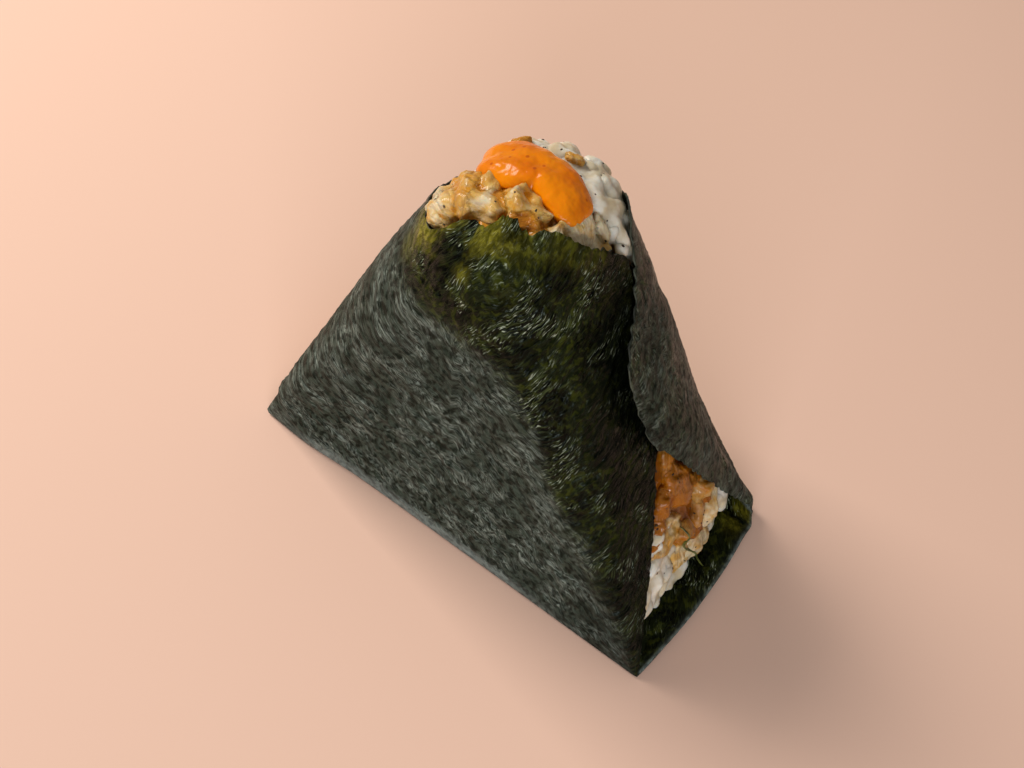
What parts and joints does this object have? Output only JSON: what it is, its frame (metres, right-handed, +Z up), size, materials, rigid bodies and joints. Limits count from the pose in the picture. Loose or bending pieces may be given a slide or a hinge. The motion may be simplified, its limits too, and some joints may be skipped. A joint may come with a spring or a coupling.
{
  "type": "spicy chicken onigiri",
  "caption": "Triangular rice ball wrapped in a strip of nori with folded sides, open at its rounded top, which shows chicken filling and a dollop of orange sauce",
  "frame": {"origin": "middle of the flat nori base, on the surface the rice ball stands on", "axes": "+Z up through the rounded top, +X along the base's long side, -Y out of the plain front panel"},
  "size_m": [0.0986, 0.0468, 0.0864],
  "materials": {
    "nori": "dry roasted seaweed sheet, dark green to black with a soft sheen",
    "rice": "cooked short-grain rice, moist and slightly translucent",
    "chicken": "shredded chicken in a thin spicy glaze, moist",
    "sauce": "smooth glossy orange spicy sauce"
  },
  "bodies": {
    "root": {"nori_wrap": "nori", "rice_body": "rice", "chicken_filling": "chicken", "sauce_dollop": "sauce"}
  },
  "joints": []
}
